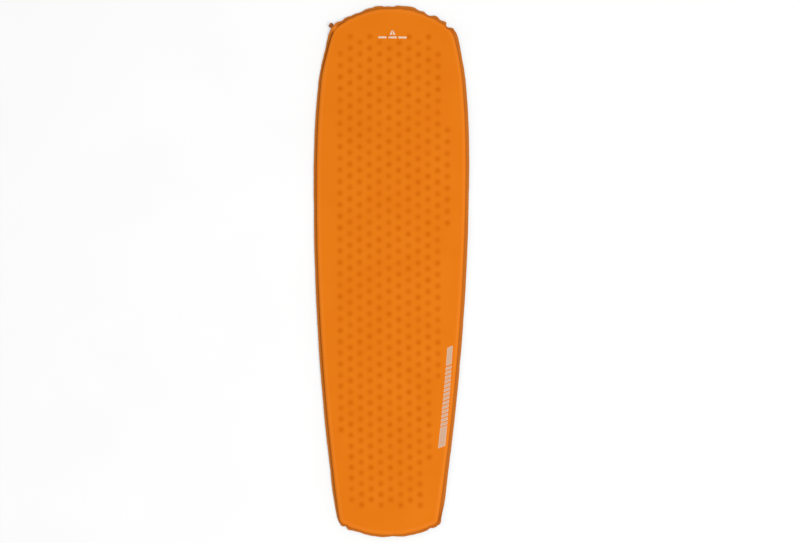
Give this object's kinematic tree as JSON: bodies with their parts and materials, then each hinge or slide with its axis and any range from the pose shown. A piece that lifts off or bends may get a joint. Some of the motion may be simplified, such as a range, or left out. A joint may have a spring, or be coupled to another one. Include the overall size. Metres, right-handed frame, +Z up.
{
  "type": "self-inflating sleeping mat",
  "caption": "Flat self-inflating camping mat with a mummy outline: two fabric skins welded round a cored foam sheet, with a screw valve in one head corner.",
  "frame": {"origin": "middle of the footprint, on the plane that the mat lies on", "axes": "+Y along the mat to the head end, +Z up through its thickness, +X to the right of a person lying on their back"},
  "size_m": [0.533, 1.83, 0.025],
  "materials": {
    "top_fabric": "matte coated fabric, orange",
    "bottom_fabric": "matte charcoal fabric with raised grip dots",
    "weld_film": "translucent fused polyurethane film",
    "foam": "open-cell foam, cream",
    "stem_plastic": "moulded plastic, satin, orange brown",
    "cap_plastic": "moulded plastic, satin, dark orange brown",
    "plug_plastic": "moulded plastic, charcoal",
    "seal_rubber": "moulded rubber, black",
    "screen_plastic": "moulded plastic, off white"
  },
  "bodies": {
    "mat": {"top_skin": "top_fabric", "bottom_skin": "bottom_fabric", "edge_weld": "weld_film", "foam_core": "foam", "valve_stem": "stem_plastic", "stem_o_ring": "seal_rubber", "valve_plug": "plug_plastic", "crumb_screen": "screen_plastic"},
    "seal": {"cap_seal": "seal_rubber"},
    "cap": {"valve_cap": "cap_plastic"}
  },
  "joints": [
    {"name": "cap_lift", "type": "slide", "parent": "mat", "child": "seal", "axis": [-0.766, 0.6428, 0], "range_m": [0, 0.004]},
    {"name": "cap_twist", "type": "hinge", "parent": "seal", "child": "cap", "pos_m": [-0.20525, 0.84067, 0.0125], "axis": [-0.766, 0.6428, 0], "range_deg": [0, 360]}
  ],
  "couplings": [
    {"joint": "cap_twist", "follows": "cap_lift", "rad_per_m": 1570.7}
  ]
}
